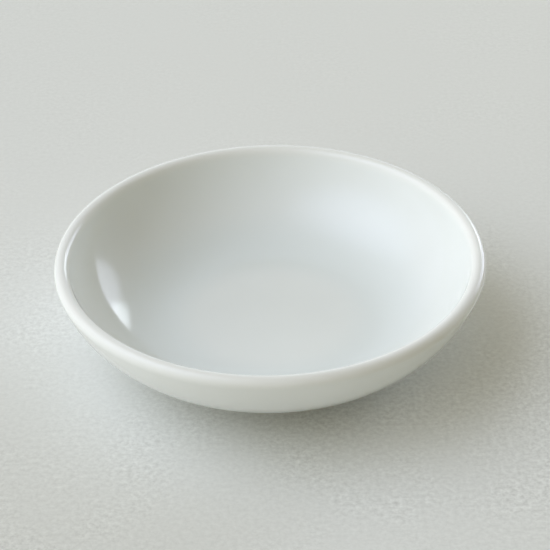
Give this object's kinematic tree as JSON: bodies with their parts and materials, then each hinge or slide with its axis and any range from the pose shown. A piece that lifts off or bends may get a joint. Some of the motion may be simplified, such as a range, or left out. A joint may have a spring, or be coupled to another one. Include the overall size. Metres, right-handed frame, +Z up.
{
  "type": "soy sauce dish",
  "caption": "Small round porcelain sauce dish: a coupe bowl with a flat well, curved wall and full-round lip, gloss white glaze, on a low foot ring with a bare standing rim.",
  "frame": {"origin": "centre of the foot ring, on the table", "axes": "+Z up along the dish's axis; the dish is round, so +X and +Y are free"},
  "size_m": [0.095, 0.095, 0.024],
  "materials": {
    "porcelain": "bare fired porcelain, ground smooth",
    "glaze": "clear gloss glaze over white porcelain"
  },
  "bodies": {
    "root": {"porcelain_body": "porcelain", "glaze_coat": "glaze", "base_glaze": "glaze"}
  },
  "joints": []
}
